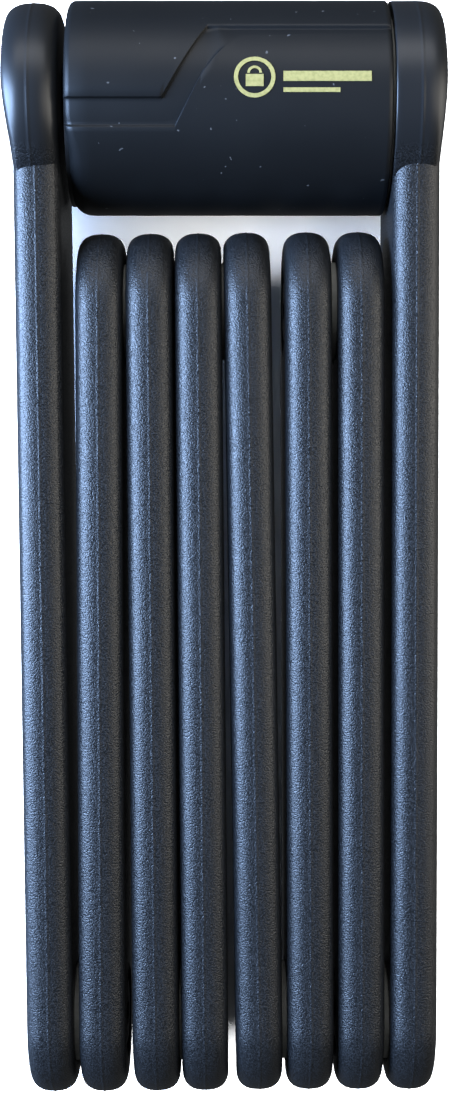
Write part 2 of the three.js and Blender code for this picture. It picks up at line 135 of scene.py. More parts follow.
def on_plane(name, normal, offset):
    """Where a joint's axis crosses a plane."""
    point, axis = Vector(joint(name)["pos_m"]), Vector(joint(name)["axis"])
    return point + axis * ((offset - point.dot(normal)) / axis.dot(normal))


def link_place(link):
    """Matrix from a link's own frame (x across, y from the far pivot to the near end) and its length."""
    normal, offset = plate_plane(link)
    far_joint = f"pivot_{link if link % 2 else link - 1}"
    near_joint = "link_8_swivel" if link in LONG_LINKS else f"pivot_{link - 1 if link % 2 else link}"
    far = on_plane(far_joint, normal, offset)
    near = on_plane(near_joint, normal, offset)
    along = (near - far).normalized()
    up = normal.cross(along)
    place = Matrix((normal, along, up)).transposed().to_4x4()
    place.translation = far
    length = LONG_LENGTH if link in LONG_LINKS else (near - far).length / MM
    return place, length


PLACES = {link: link_place(link) for link in LINKS}
BODY_PLACE = PLACES[8][0].copy()
BODY_PLACE.translation = Vector(joint("link_8_swivel")["pos_m"])
BODY_PLACE.translation.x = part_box("body_cover")[0][0]
KEY_PLACE = BODY_PLACE.copy()
KEY_PLACE.translation.x += BODY_ZERO * MM


# ---- Mesh helpers: everything is drawn in millimetres in a local frame ----

def smooth(x, low, high):
    """0 up to low, 1 from high on, and a smooth curve between."""
    t = min(1.0, max(0.0, (x - low) / (high - low)))
    return t * t * (3 - 2 * t)


def eased(x, low, high):
    """0 to 1 like a straight ramp, with only its two corners rounded."""
    corner = (high - low) * 0.12
    samples = [min(1.0, max(0.0, (x + corner * k / 4 - low) / (high - low))) for k in range(-8, 9)]
    return sum(samples) / len(samples)


def new_object(name, verts, faces):
    """A new mesh object in the scene."""
    mesh = bpy.data.meshes.new(name)
    mesh.from_pydata([tuple(v) for v in verts], [], faces)
    mesh.validate()
    obj = bpy.data.objects.new(name, mesh)
    bpy.context.scene.collection.objects.link(obj)
    return obj


def outward(obj):
    """Merges double points and turns every face outwards."""
    bm = bmesh.new()
    bm.from_mesh(obj.data)
    bmesh.ops.remove_doubles(bm, verts=bm.verts, dist=1e-4)
    bmesh.ops.recalc_face_normals(bm, faces=bm.faces)
    bm.to_mesh(obj.data)
    bm.free()
    return obj


def turned(name, outline, sides=72):
    """A closed outline of (x, radius) points turned round the X axis."""
    verts, faces, rings = [], [], []
    for x, r in outline:
        if r < 1e-6:
            rings.append([len(verts)] * sides)
            verts.append((x, 0, 0))
            continue
        rings.append(list(range(len(verts), len(verts) + sides)))
        for i in range(sides):
            angle = 2 * math.pi * i / sides
            verts.append((x, r * math.cos(angle), r * math.sin(angle)))
    for a, b in zip(rings, rings[1:] + rings[:1]):
        for i in range(sides):
            j = (i + 1) % sides
            corners = list(dict.fromkeys((a[i], a[j], b[j], b[i])))
            if len(corners) > 2:
                faces.append(corners)
    return outward(new_object(name, verts, faces))


def rod(name, start, end, radius, chamfer=0.0, sides=72):
    return turned(name, [(start, 0), (start, radius - chamfer), (start + chamfer, radius),
                         (end - chamfer, radius), (end, radius - chamfer), (end, 0)], sides)


def ring(name, start, end, inner, outer, chamfer=0.0, sides=96):
    c = chamfer
    return turned(name, [(start, inner + c), (start, outer - c), (start + c, outer), (end - c, outer),
                         (end, outer - c), (end, inner + c), (end - c, inner), (start + c, inner)], sides)


def block(name, x, y, z):
    """A box from three (low, high) pairs."""
    verts = [(a, b, c) for a in x for b in y for c in z]
    faces = [(0, 1, 3, 2), (4, 6, 7, 5), (0, 4, 5, 1), (2, 3, 7, 6), (0, 2, 6, 4), (1, 5, 7, 3)]
    return outward(new_object(name, verts, faces))


def stadium(length, radius, steps=28):
    """Pivot-line point and outward direction all round a bar with round ends."""
    samples = []
    for centre, start in ((0, math.pi / 2), (length, -math.pi / 2)):
        for i in range(steps + 1):
            angle = start + math.pi * i / steps
            samples.append((centre, math.cos(angle), math.sin(angle)))
    return samples


def prism(name, length, radius, half, chamfer=0.0):
    """A bar with round ends along Y, half as thick along X as it says."""
    samples = stadium(length, radius)
    count = len(samples)
    rows = [(-half, radius), (half, radius)]
    if chamfer:
        edge = radius - chamfer
        rows = [(-half, edge), (chamfer - half, radius), (half - chamfer, radius), (half, edge)]
    verts = [(x, y + r * oy, r * oz) for x, r in rows for y, oy, oz in samples]
    faces = [tuple(range(count)), tuple(range(len(verts) - count, len(verts)))]
    for a in range(0, len(verts) - count, count):
        b = a + count
        faces += [(a + i, a + (i + 1) % count, b + (i + 1) % count, b + i) for i in range(count)]
    return outward(new_object(name, verts, faces))


def moved(obj, x=0.0, y=0.0, z=0.0, turn=0.0, axis="X"):
    """Turned in degrees round an axis, then moved."""
    obj.data.transform(Matrix.Translation((x, y, z)) @ Matrix.Rotation(math.radians(turn), 4, axis))
    return obj


def edge_section(start, end, drop, line=MOULD_LINE, steps=26):
    """(x, depth below the crown) across a moulded narrow edge, with its mould line in the middle."""
    half, middle = (end - start) / 2, (end + start) / 2
    places = [half * math.sin(math.pi / 2 * (2 * i / steps - 1)) for i in range(steps + 1)]
    places = sorted([x for x in places if abs(x) > 0.25] + [-0.22, -0.09, 0, 0.09, 0.22])
    section = []
    for x in places:
        fall = drop * (1 - max(0.0, 1 - abs(x / half) ** EDGE_POWER) ** (1 / EDGE_POWER))
        section.append((middle + x, fall - (line if abs(x) < 0.1 else 0)))
    return section


def moulded_bar(name, length):
    section = edge_section(-SLEEVE_THICK / 2, SLEEVE_THICK / 2, EDGE_DROP)
    samples = stadium(length, SLEEVE_RADIUS)
    verts, faces, width = [], [], len(section)
    for y, oy, oz in samples:
        verts += [(x, y + (SLEEVE_RADIUS - d) * oy, (SLEEVE_RADIUS - d) * oz) for x, d in section]
    count = len(samples)
    for s in range(count):
        a, b = s * width, (s + 1) % count * width
        faces += [(a + i, a + i + 1, b + i + 1, b + i) for i in range(width - 1)]
    faces.append(tuple(s * width for s in range(count)))
    faces.append(tuple(s * width + width - 1 for s in range(count)))
    return outward(new_object(name, verts, faces))


def moulded_disc(name, start, end, drop, cheek, square_left=False):
    """A round head whose cheek side (-1 left, 1 right) slopes down into the bar.

    square_left keeps the left edge of its rim square, where it meets the cover."""
    section = edge_section(start, end, drop)
    if square_left:
        middle = (start + end) / 2
        square = [min(d, 0.3 * max(0.0, d / drop) ** 3) for _, d in section]
        section = [(x, d if x > middle else near) for (x, d), near in zip(section, square)]
    rim = [(x, HEAD_RADIUS - d) for x, d in section]
    rings = 12  # across each flat side, so that its slope comes out smooth
    outline = [(rim[0][0], rim[0][1] * i / rings) for i in range(rings)] + rim
    outline += [(rim[-1][0], rim[-1][1] * i / rings) for i in reversed(range(rings))]
    obj = turned(name, outline, 128)
    wall = SLEEVE_THICK / 2
    for v in obj.data.vertices:
        proud = cheek * v.co.x - (wall - 1)
        if proud > 0:
            reach = 1 + max(cheek * start, cheek * end) - wall
            keep = 1 - (1 - 0.95 / reach) * eased(-v.co.y, *CHEEK_SLOPE)
            v.co.x = cheek * (wall - 1 + proud * keep)
    return obj


def boolean(obj, tool, operation):
    modifier = obj.modifiers.new(operation, "BOOLEAN")
    modifier.operation = operation
    modifier.object = tool
    modifier.solver = "EXACT"
    modifier.use_hole_tolerant = True
    bpy.context.view_layer.update()
    depsgraph = bpy.context.evaluated_depsgraph_get()
    mesh = bpy.data.meshes.new_from_object(obj.evaluated_get(depsgraph))
    obj.modifiers.clear()
    obj.data = mesh
    bpy.data.objects.remove(tool)
    return obj


def cut(obj, *tools):
    for tool in tools:
        boolean(obj, tool, "DIFFERENCE")
    return obj


def join(obj, *parts):
    for part in parts:
        boolean(obj, part, "UNION")
    return obj


def clean(obj):
    """Drops the slivers that cutting leaves, and closes the small gaps beside them."""
    bm = bmesh.new()
    bm.from_mesh(obj.data)
    bmesh.ops.remove_doubles(bm, verts=bm.verts, dist=TINY)
    bmesh.ops.dissolve_degenerate(bm, edges=bm.edges, dist=TINY)
    bmesh.ops.holes_fill(bm, edges=bm.edges, sides=6)
    bm.to_mesh(obj.data)
    bm.free()


def settle(obj, place, material, body, *nodes, crease=32):
    """Scales a piece to metres, puts it in its place, and ties it to its body and material."""
    clean(obj)
    obj.data.transform(place @ Matrix.Scale(MM, 4))
    obj.data.materials.clear()
    obj.data.materials.append(material)
    obj.data.update()
    for polygon in obj.data.polygons:
        polygon.use_smooth = True
    obj.data.set_sharp_from_angle(angle=math.radians(crease))
    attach(obj, body)
    if nodes:
        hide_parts(*nodes)
    return obj


# ---- Materials ----

# Where the grain of the bars of links 1 and 8 stops, short of their smooth heads
BAR_END = Vector(joint("link_8_swivel")["pos_m"]).y - 9 * MM


class Shader:
    """A small Principled material with helpers for procedural detail, in metres."""

    def __init__(self, name, color, metallic, roughness):
        self.material = bpy.data.materials.new(name)
        self.material.use_nodes = True
        self.tree = self.material.node_tree
        self.bsdf = self.tree.nodes["Principled BSDF"]
        self.bsdf.inputs["Base Color"].default_value = (*color, 1)
        self.bsdf.inputs["Metallic"].default_value = metallic
        self.bsdf.inputs["Roughness"].default_value = roughness
        self.place = self.tree.nodes.new("ShaderNodeTexCoord").outputs["Object"]

    def node(self, kind, **values):
        node = self.tree.nodes.new(kind)
        for key, value in values.items():
            if key in node.inputs:
                node.inputs[key].default_value = value
            else:
                setattr(node, key, value)
        return node

    def link(self, source, target):
        self.tree.links.new(source, target)

    def noise(self, size, detail=2.0, rough=0.5, stretch=(1, 1, 1)):
        """Noise whose lumps are about size metres across."""
        mapping = self.node("ShaderNodeMapping", Scale=stretch)
        self.link(self.place, mapping.inputs["Vector"])
        noise = self.node("ShaderNodeTexNoise", Scale=1 / size, Detail=detail, Roughness=rough)
        self.link(mapping.outputs["Vector"], noise.inputs["Vector"])
        return noise.outputs["Fac"]

    def ramp(self, source, low, high, start, end):
        remap = self.node("ShaderNodeMapRange")
        for key, value in (("From Min", low), ("From Max", high), ("To Min", start), ("To Max", end)):
            remap.inputs[key].default_value = value
        self.link(source, remap.inputs["Value"])
        return remap.outputs["Result"]

    def colors(self, source, low, high, dark, light):
        mix = self.node("ShaderNodeMix", data_type="RGBA")
        mix.inputs["A"].default_value = (*dark, 1)
        mix.inputs["B"].default_value = (*light, 1)
        self.link(self.ramp(source, low, high, 0, 1), mix.inputs["Factor"])
        self.link(mix.outputs["Result"], self.bsdf.inputs["Base Color"])
        return mix

    def rough(self, source, low, high, start, end):
        self.link(self.ramp(source, low, high, start, end), self.bsdf.inputs["Roughness"])

    def bump(self, *layers):
        """Layers of (height source, strength, distance in metres), each on top of the one before."""
        normal = None
        for source, strength, distance in layers:
            bump = self.node("ShaderNodeBump", Strength=strength, Distance=distance)
            self.link(source, bump.inputs["Height"])
            if normal:
                self.link(normal, bump.inputs["Normal"])
            normal = bump.outputs["Normal"]
        self.link(normal, self.bsdf.inputs["Normal"])


def sleeve_plastic():
    """Black nylon with a fine grain on the bars, whose paler specks are partly painted sparkle, smooth on
    the round heads.
    """
    s = Shader("sleeve_plastic", (0.012, 0.014, 0.017), 0, 0.4)
    split = s.node("ShaderNodeSeparateXYZ")
    s.link(s.place, split.inputs["Vector"])
    on_bar = s.ramp(split.outputs["Y"], BAR_END - 0.0015, BAR_END + 0.0005, 1, 0)
    grain = s.node("ShaderNodeMix", data_type="FLOAT")
    grain.inputs["A"].default_value = 0.5
    s.link(on_bar, grain.inputs["Factor"])
    s.link(s.noise(0.00024, 1, 0.5), grain.inputs["B"])
    grain = grain.outputs["Result"]
    broad = s.noise(0.012, 3)
    # Paler specks in the base colour: partly the grain's own tone, partly painted sparkle, that is glints
    # of light painted into the colour.
    s.colors(grain, 0.35, 0.7, (0.006, 0.007, 0.008), (0.024, 0.026, 0.029))
    s.rough(grain, 0.4, 0.6, 0.28, 0.46)
    s.bump((broad, 0.1, 0.0003), (grain, 0.7, 0.00015))
    return s.material


def cover_plastic():
    """Smooth soft-touch black with faint mottling and dust specks."""
    s = Shader("cover_plastic", (0.012, 0.013, 0.016), 0, 0.5)
    fine = s.noise(0.0004, 3)
    broad = s.noise(0.02, 3)
    dust = s.noise(0.0008, 0)
    s.colors(dust, 0.85, 0.87, (0.008, 0.009, 0.010), (0.12, 0.12, 0.12))
    s.rough(broad, 0.3, 0.7, 0.42, 0.5)
    s.bsdf.inputs["Specular IOR Level"].default_value = 0.36
    s.bump((broad, 0.12, 0.0003), (fine, 0.08, 0.00004))
    return s.material


def metal(name, dark, light, roughness, grain=(1, 1, 1), size=0.0004):
    s = Shader(name, light, 1, roughness)
    lines = s.noise(size, 3, 0.6, grain)
    stain = s.noise(0.005, 4, 0.65)
    s.colors(stain, 0.2, 0.8, dark, light)
    s.rough(lines, 0.3, 0.7, roughness - 0.06, roughness + 0.1)
    s.bump((lines, 0.12, 0.00004))
    return s.material


def plain_polymer(name, dark, light, roughness):
    s = Shader(name, light, 0, roughness)
    mottle = s.noise(0.002, 3)
    s.colors(mottle, 0.35, 0.65, dark, light)
    s.rough(mottle, 0.3, 0.7, roughness - 0.05, roughness + 0.05)
    s.bump((s.noise(0.0003, 2), 0.1, 0.00004))
    return s.material


def print_ink():
    """Pad-printed yellow-green ink, a little thin in places."""
    s = Shader("print_ink", (0.55, 0.58, 0.10), 0, 0.5)
    thin = s.noise(0.0006, 3)
    s.colors(thin, 0.25, 0.6, (0.38, 0.33, 0.11), (0.52, 0.45, 0.165))
    s.bump((thin, 0.1, 0.00003))
    return s.material


SLEEVE = sleeve_plastic()
COVER = cover_plastic()
PLATE = metal("plate_steel", (0.20, 0.20, 0.21), (0.32, 0.32, 0.33), 0.42, (6, 0.4, 6))
CASE = metal("case_steel", (0.32, 0.33, 0.34), (0.42, 0.43, 0.45), 0.34, (1, 5, 5))
BLACKENED = metal("blackened_steel", (0.05, 0.05, 0.055), (0.11, 0.11, 0.12), 0.42)
PLATED = metal("plated_steel", (0.60, 0.61, 0.63), (0.70, 0.71, 0.73), 0.24, (5, 1, 1), 0.0005)
BRASS = metal("turned_brass", (0.45, 0.32, 0.12), (0.62, 0.46, 0.20), 0.3, (1, 5, 5))
ACETAL = plain_polymer("acetal", (0.50, 0.50, 0.46), (0.60, 0.60, 0.56), 0.55)
RUBBER = plain_polymer("nitrile", (0.015, 0.015, 0.016), (0.025, 0.025, 0.026), 0.75)
INK = print_ink()

NODE_MATERIALS = {
    "plate": PLATE, "washer": ACETAL, "rivet": BLACKENED, "lock_case": CASE, "end_plate": PLATED,
    "end_screw": BLACKENED, "bolt_seal": RUBBER, "cylinder_housing": BRASS, "housing_pin": BLACKENED,
    "swivel_washer": ACETAL, "retaining_clip": BLACKENED, "dust_cover": PLATED, "key_plug": BRASS,
    "detainer_disc": BRASS, "side_bar": BLACKENED, "cam_drum": CASE, "locking_bolt": PLATED,
    "cross_pin": BLACKENED, "sleeve": SLEEVE, "body_cover": COVER,
}


def dress_cad_nodes():
    for name, node in frame["nodes"].items():
        material = next(m for part, m in NODE_MATERIALS.items() if part in name)
        node.data.materials.clear()
        node.data.materials.append(material)


# ---- Links ----

def pivots_of(link, length):
    """(place along the link, side on which the joined link lies) for both its pivots."""
    found = []
    for pivot, side in ((link - 1, -1), (link, 1)):
        if pivot in PIVOTS:
            found.append((0 if pivot % 2 else length, side))
    return found


def pivot_cutters(link, length):
    half = SLEEVE_THICK / 2
    for y, side in pivots_of(link, length):
        for facing, radius in ((side, WASHER_OPENING), (-side, RIVET_OPENING)):
            c = OPENING_CHAMFER
            outline = [(0, 0), (0, radius), (half - c, radius), (half + c, radius + 2 * c), (half + c, 0)]
            tool = turned("opening", [(facing * x, r) for x, r in outline])
            tool.data.transform(Matrix.Translation((0, y, 0)))
            yield tool


def head_at(obj, length):
    obj.data.transform(Matrix.Translation((0, length, 0)))
    return obj


def sleeve(link):
    place, length = PLACES[link]
    name = f"sleeve_{link}"
    room = PLATE_HALF + ROOM
    obj = moulded_bar(name, length)
    hollow = prism("room", length, PLATE_RADIUS + ROOM, room)
    if link == 1:
        join(obj, head_at(moulded_disc("head", *SOCKET_HEAD, SOCKET_DROP, -1), length))
        wide, mouth = SOCKET_PLATE + ROOM, SOCKET_MOUTH
        outline = [(-room, 0), (-room, wide), (room, wide), (room, mouth),
                   (SLEEVE_THICK, mouth), (SLEEVE_THICK, 0)]
        join(hollow, head_at(turned("head_room", outline), length))
    if link == 8:
        join(obj, head_at(moulded_disc("head", *EYE_HEAD, EYE_DROP, 1, square_left=True), length))
        wide, end = EYE_PLATE + ROOM, EYE_HEAD[1]
        deep, flare = EYE_FLARE
        outline = [(-SLEEVE_THICK, 0), (-SLEEVE_THICK, EYE_INNER), (-room, EYE_INNER),
                   (-room, wide), (room, wide), (room, EYE_OUTER), (end - deep, EYE_OUTER),
                   (end + deep, EYE_OUTER + flare), (end + deep, 0)]
        join(hollow, head_at(turned("head_room", outline, 96), length))
    cut(obj, hollow, *pivot_cutters(link, length))
    settle(obj, place, SLEEVE, f"link_{link}", f"link_{link}_sleeve")


def rivet_and_washer(pivot):
    """The rivet and washer of a pivot ride on its right-hand link."""
    link = pivot + 1
    at = PLACES[link][0].copy()
    at.translation = Vector(joint(f"pivot_{pivot}")["pos_m"])
    span = joint_pitch(pivot)
    right = PLATE_HALF + RIVET_GAP
    left = -span - right
    outline = [(left - x, r) for x, r in RIVET_HEAD] + [(left, RIVET_SHANK), (right, RIVET_SHANK)]
    outline += [(right + x, r) for x, r in reversed(RIVET_HEAD)]
    rivet = turned(f"rivet_body_{pivot}", outline)
    settle(rivet, at, BLACKENED, f"link_{link}", f"rivet_{pivot}")
    washer = ring(f"washer_ring_{pivot}", right - span, -right, WASHER_INNER, WASHER_OUTER, 0.25)
    settle(washer, at, ACETAL, f"link_{link}", f"washer_{pivot}")


def joint_pitch(pivot):
    """Distance between the mid planes of the two links that a pivot joins, in millimetres."""
    name = f"pivot_{pivot}"
    return (Vector(joint(name)["pos_m"]) - on_plane(name, *plate_plane(pivot))).length / MM


# ---- Lock body ----

def polyline(points, x):
    """Height at x of straight lines through the points."""
    for (x0, s0), (x1, s1) in zip(points, points[1:]):
        if x <= x1:
            return s0 + (s1 - s0) * (x - x0) / (x1 - x0)
    return points[-1][1]


# The band's two edges on the cover: (distance from its left end, distance round it from the top)
UPPER_EDGE = [(0, -2.0), (15.5, -2.0), (22.6, 10.5), (COVER_LENGTH, 10.5)]
LOWER_EDGE = [(0, -6.4), (17.6, -6.4), (22.0, 2.3), (24.4, 5.4), (28.0, 9.0), (COVER_LENGTH, 9.4)]


def cover_rows(x):
    """Places round the cover, from just below the band all the way back: rows follow the band's edges."""
    upper, lower = polyline(UPPER_EDGE, x), polyline(LOWER_EDGE, x)
    edge = BAND_EDGE
    bottom, top = FRONT
    spans = [(bottom, lower - edge, 10), (lower - edge, lower + edge, 4), (lower + edge, upper - edge, 8),
             (upper - edge, upper + edge, 4), (upper + edge, top, 10)]
    back = 2 * math.pi * COVER_RADIUS + bottom
    spans.append((top, back, 56))
    rows = []
    for start, end, steps in spans:
        rows += [start + (end - start) * i / steps for i in range(steps)]
    return rows, upper, lower


def cover_depth(x, s, upper, lower):
    """How far the surface lies below the cover's radius at (x, s)."""
    below_upper = 1 - smooth(s, upper - BAND_EDGE, upper + BAND_EDGE)
    above_lower = smooth(s, lower - BAND_EDGE, lower + BAND_EDGE)
    right_side = smooth(x, 20.5, 27)
    slope = right_side * math.exp(-max(0.0, upper - s) / 4.5)
    panel = slope * below_upper if FRONT[0] < s <= upper + BAND_EDGE else 0.0
    band = below_upper * above_lower * (1 - smooth(x, 22.5, 27))
    return BAND_DEPTH * max(panel, band)


def left_rounding(s):
    """Radius of the cover's left edge: tight on the upper panel, wider below the band."""
    wide = smooth(-s, 4.0, 12.0) * (1 - smooth(-s, 40.0, 50.0))
    return 1.4 + 2.0 * wide


def cover_stations():
    """(place along the cover, kind, how far through the rounding) for every ring of its outside."""
    steps = 8
    stations = [(0.0, "rounding", math.pi / 2 * i / steps) for i in range(steps)]
    bends = {point[0] for point in UPPER_EDGE + LOWER_EDGE}
    marks = {0.5 * i for i in range(int(COVER_LENGTH / 0.5) + 1)} | bends
    stations += [(x, "wall", 0) for x in sorted(marks) if 4.0 <= x <= COVER_LENGTH - 0.6]
    return stations + [(COVER_LENGTH - 0.35, "wall", 0), (COVER_LENGTH, "lip", 0)]


def round_cover(x, radius, s):
    angle = math.pi / 2 - s / COVER_RADIUS
    return (x, radius * math.cos(angle), radius * math.sin(angle))


def body_cover():
    verts, faces, width = [], [], 0
    for at, kind, through in cover_stations():
        rows, upper, lower = cover_rows(at)
        width = len(rows)
        for s in rows:
            x, inset = at, 0.35 if kind == "lip" else 0.0
            if kind == "rounding":
                r = left_rounding(s if s < 60 else s - 2 * math.pi * COVER_RADIUS)
                x, inset = r - r * math.cos(through), r - r * math.sin(through)
            depth = cover_depth(x, s, upper, lower) if s < FRONT[1] else 0.0
            verts.append(round_cover(x, COVER_RADIUS - depth - inset, s))
    for x in (COVER_LENGTH, 0.0):  # the inside, which closes the shell
        verts += [round_cover(x, COVER_INNER, s) for s in cover_rows(x)[0]]
    count = len(verts) // width
    for k in range(count):
        a, b = k * width, (k + 1) % count * width
        faces += [(a + i, a + (i + 1) % width, b + (i + 1) % width, b + i) for i in range(width)]
    obj = outward(new_object("body_shell", verts, faces))
    settle(obj, BODY_PLACE, COVER, "lock_body", "body_cover", crease=50)


# ---- Key end ----

def key_piece(obj, material, body, slot, *nodes):
    settle(obj, KEY_PLACE, material, body, *nodes)


def lock_housing():
    (left, right), inner, outer = HOUSING, HOUSING_INNER, HOUSING_OUTER
    outline = [(left, inner), (left, outer - 0.3), (left + 0.3, outer), (right - 0.25, outer),
               (right, outer - 0.25), (right, inner + 0.45), (right - 0.35, inner)]
    obj = turned("housing_barrel", outline, 96)
    pin_hole = moved(rod("pin_hole", right - 2.5, right + 1, 0.9, sides=32), z=DUST_PIVOT)
    fixing_hole = rod("fixing_hole", inner - 1, outer + 1, FIXING_HOLE, sides=32)
    cut(obj, pin_hole, moved(fixing_hole, x=FIXING_AT, turn=90, axis="Y"))
    key_piece(obj, BRASS, "lock_body", "lock_brass", "cylinder_housing")


def key_plug():
    """The plug's face is turned slightly hollow round its keyway."""
    (left, right), radius = PLUG, PLUG_RADIUS
    outline = [(left, 0), (left, radius), (right - 0.3, radius), (right, radius - 0.3),
               (right, radius - 1.1), (right - 0.2, radius - 1.4), (right - 0.2, 0)]
    obj = turned("plug_core", outline, 96)
    thick, width, slot = TANG_THICK / 2, TANG_WIDTH / 2, BAR_SLOT_WIDTH / 2
    tang = block("tang", (TANG_LEFT, left + 1), (-thick, thick), (-width, width))
    hollow = rod("cavity", *CAVITY, CAVITY_RADIUS)
    bar_slot = block("bar_slot", CAVITY, (-slot, slot), (BAR_SLOT_FLOOR, radius + 1))
    run = KEYWAY_HEIGHT - KEYWAY_WIDTH
    keyway = moved(prism("keyway", run, KEYWAY_WIDTH / 2, 2.2), y=-run / 2)
    flare = moved(prism("flare", run, KEYWAY_WIDTH / 2 + 0.35, 0.35, 0.34), y=-run / 2)
    keyway = moved(keyway, x=right - 1.5, turn=90)
    flare = moved(flare, x=right, turn=90)
    obj = cut(join(obj, tang), hollow, bar_slot, keyway, flare)
    key_piece(obj, BRASS, "key_plug", "lock_brass", "key_plug")


def retaining_clip():
    """A circlip that thins towards its open end, where two lugs have holes for pliers."""
    (left, right), inner, steps = CLIP, CLIP_INNER, 72
    thinning, lug_circle, c = 1.1, 12.0, 0.08
    verts, faces = [], []
    for i in range(steps + 1):
        turn = CLIP_MOUTH / 2 + (360 - CLIP_MOUTH) * i / steps
        angle = math.radians(turn - 90)
        outer = CLIP_OUTER - thinning * math.cos(math.radians(turn / 2)) ** 2
        section = [(left, inner + c), (left, outer - c), (left + c, outer), (right - c, outer),
                   (right, outer - c), (right, inner + c), (right - c, inner), (left + c, inner)]
        verts += [(x, r * math.cos(angle), r * math.sin(angle)) for x, r in section]
    for a in range(0, 8 * steps, 8):
        faces += [(a + k, a + (k + 1) % 8, a + 8 + (k + 1) % 8, a + 8 + k) for k in range(8)]
    faces += [tuple(range(8)), tuple(range(8 * steps, 8 * steps + 8))]
    obj = outward(new_object("clip_ring", verts, faces))
    lugs, holes = [], []
    for side in (-1, 1):
        angle = math.radians(side * (CLIP_MOUTH / 2 + 3) - 90)
        at = {"y": lug_circle * math.cos(angle), "z": lug_circle * math.sin(angle)}
        lugs.append(moved(rod("lug", left - 0.03, right + 0.03, 1.5, 0.08, 40), **at))
        holes.append(moved(rod("lug_hole", left - 1, right + 1, 0.7, sides=32), **at))
    key_piece(cut(join(obj, *lugs), *holes), BLACKENED, "lock_body", "rivet_steel", "retaining_clip")


def dust_cover():
    """A stamped cover plate with a raised rim and a thumb ridge, hanging from a domed pin."""
    (left, right), radius = DUST_COVER, DUST_RADIUS
    face = right - 0.1
    outline = [(left, 0), (left, radius - 0.15), (left + 0.15, radius), (right - 0.15, radius),
               (right, radius - 0.15), (right, radius - 0.7), (face, radius - 0.95), (face, 0)]
    obj = turned("dust_plate", outline, 96)
    half = (face + 0.04 - left) / 2 - 0.02
    tail = prism("tail", DUST_PIVOT, DUST_EAR, half, 0.12)
    ridge = prism("ridge", 3.2, 0.55, 0.22, 0.18)
    join(obj, moved(tail, x=left + 0.02 + half, turn=90), moved(ridge, x=face, y=-1.6, z=-1.9))
    hole = moved(rod("pin_hole", left - 1, right + 1, 0.85, sides=32), z=DUST_PIVOT)
    key_piece(cut(obj, hole), PLATED, "dust_cover", "plated_steel", "dust_cover")
    tail_end, shank, head = DUST_PIN_TAIL, DUST_PIN_RADIUS, right + 0.08
    outline = [(tail_end, 0), (tail_end, shank - 0.1), (tail_end + 0.1, shank), (head, shank), (head, 1.1),
               (head + 0.07, 1.1), (head + 0.16, 0.9), (head + 0.2, 0.5), (head + 0.2, 0)]
    pin = moved(turned("dust_pin", outline, 40), z=DUST_PIVOT)
    key_piece(pin, PLATED, "lock_body", "plated_steel", "dust_cover_pin")


def end_screws():
    """Countersunk screws with a six-sided socket, in the plate at the bolt's end of the body."""
    face, shank = PLATE_FACE + 0.05, SCREW_SHANK
    cone_end = PLATE_FACE + SCREW_CONE
    tip = cone_end + SCREW_LENGTH
    outline = [(face, 0), (face, SCREW_HEAD - 0.12), (face + 0.08, SCREW_HEAD),
               (PLATE_FACE + 0.2, SCREW_HEAD), (cone_end, shank), (tip - 0.3, shank),
               (tip, shank - 0.3), (tip, 0)]
    for number in (1, 2, 3):
        low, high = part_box(f"end_screw_{number}")
        at = KEY_PLACE.inverted() @ ((Vector(low) + Vector(high)) / 2)
        screw = turned(f"screw_body_{number}", outline, 48)
        cut(screw, rod("socket", face - 1, face + SCREW_SOCKET_DEPTH, SCREW_SOCKET, sides=6))
        moved(screw, y=at.y / MM, z=at.z / MM)
        key_piece(screw, PLATED, "lock_body", "screw_steel", f"end_screw_{number}")


# ---- Generic print on the cover ----

def ink(name, outline):
    """A flat outline of (x, s) points, printed on the cover."""
    bm = bmesh.new()
    face = bm.faces.new([bm.verts.new((x, s, 0)) for x, s in outline])
    if face.normal.z < 0:
        face.normal_flip()
    low, high = min(s for _, s in outline), max(s for _, s in outline)
    steps = int((high - low) / 0.4)
    for i in range(1, steps + 1):
        cut_at = low + (high - low) * i / (steps + 1)
        geometry = list(bm.verts) + list(bm.edges) + list(bm.faces)
        bmesh.ops.bisect_plane(bm, geom=geometry, plane_co=(0, cut_at, 0), plane_no=(0, 1, 0))
    top = bmesh.ops.extrude_face_region(bm, geom=list(bm.faces))["geom"]
    for v in (g for g in top if isinstance(g, bmesh.types.BMVert)):
        v.co.z = INK_THICK
    for v in bm.verts:
        v.co = Vector(round_cover(v.co.x, COVER_RADIUS - INK_SUNK + v.co.z, v.co.y))
    mesh = bpy.data.meshes.new(name)
    bmesh.ops.recalc_face_normals(bm, faces=bm.faces)
    bm.to_mesh(mesh)
    bm.free()
    obj = bpy.data.objects.new(name, mesh)
    bpy.context.scene.collection.objects.link(obj)
    settle(obj, BODY_PLACE, INK, "lock_body")


def arc(cx, cs, radius, start, end, steps=20):
    """Points of a circle's arc, between two angles in degrees."""
    angles = [math.radians(start + (end - start) * i / steps) for i in range(steps + 1)]
    return [(cx + radius * math.cos(a), cs + radius * math.sin(a)) for a in angles]


def printed_marks():
    """A plain padlock pictogram in a ring, and two plain bars."""
    x, s = PRINT_CENTRE
    for side, start in (("upper", 0), ("lower", 180)):
        outer, inner = arc(x, s, 3.25, start, start + 180), arc(x, s, 2.6, start + 180, start)
        ink(f"print_ring_{side}", outer + inner)
    ink("print_lock_body", [(x - 1.4, s - 1.5), (x + 1.4, s - 1.5), (x + 1.4, s + 0.4), (x - 1.4, s + 0.4)])
    ink("print_lock_shackle", arc(x, s + 0.6, 1.15, 0, 180) + arc(x, s + 0.6, 0.75, 180, 0))
    for name, end, low, high in (("long", 48.4, s - 0.7, s + 0.9), ("short", 43.5, s - 2.4, s - 1.7)):
        ink(f"print_bar_{name}", [(34.6, low), (end, low), (end, high), (34.6, high)])


# ---- Floor, light and camera ----

